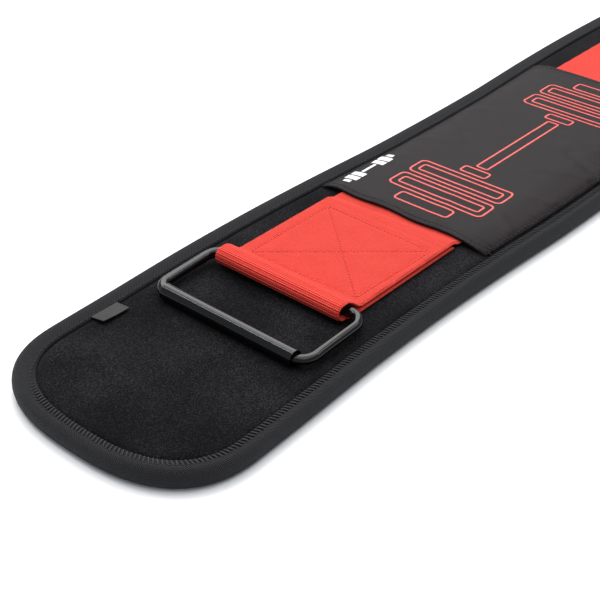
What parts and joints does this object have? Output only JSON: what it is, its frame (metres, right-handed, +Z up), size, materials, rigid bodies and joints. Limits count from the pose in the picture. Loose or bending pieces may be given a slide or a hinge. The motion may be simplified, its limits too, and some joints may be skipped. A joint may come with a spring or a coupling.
{
  "type": "weightlifting belt",
  "caption": "Open padded weightlifting belt lying flat, with a bound rim, a red webbing strap, a nylon back panel and a roller buckle ring.",
  "frame": {"origin": "middle of the whole belt's box, on the surface that it lies on", "axes": "+X along the belt from the buckle end to the tail's tip, +Y across it to the label's side, +Z up from the resting surface"},
  "size_m": [0.95, 0.1308, 0.0181],
  "materials": {
    "face_cloth": "matte brushed knit over foam",
    "binding_tape": "herringbone twill tape",
    "red_webbing": "soft ribbed webbing",
    "panel_nylon": "satin woven nylon",
    "black_wire": "gloss black enamel",
    "black_tube": "gloss black enamel",
    "label_cloth": "smooth woven satin",
    "hook_tape": "stiff hook tape"
  },
  "bodies": {
    "belt": {"belt_body": "face_cloth", "edge_binding": "binding_tape", "main_strap": "red_webbing", "back_panel": "panel_nylon", "size_tag": "label_cloth", "hook_patch": "hook_tape"},
    "ring": {"buckle_ring": "black_wire"},
    "roller": {"buckle_roller": "black_tube"}
  },
  "joints": [
    {"name": "ring_swing", "type": "hinge", "parent": "belt", "child": "ring", "pos_m": [-0.3378, -0.00003, 0.0133], "axis": [0, 1, 0], "range_deg": [0, 165]},
    {"name": "roller_spin", "type": "hinge", "parent": "ring", "child": "roller", "pos_m": [-0.37899, -0.00003, 0.0122], "axis": [0, 1, 0], "continuous": true}
  ]
}
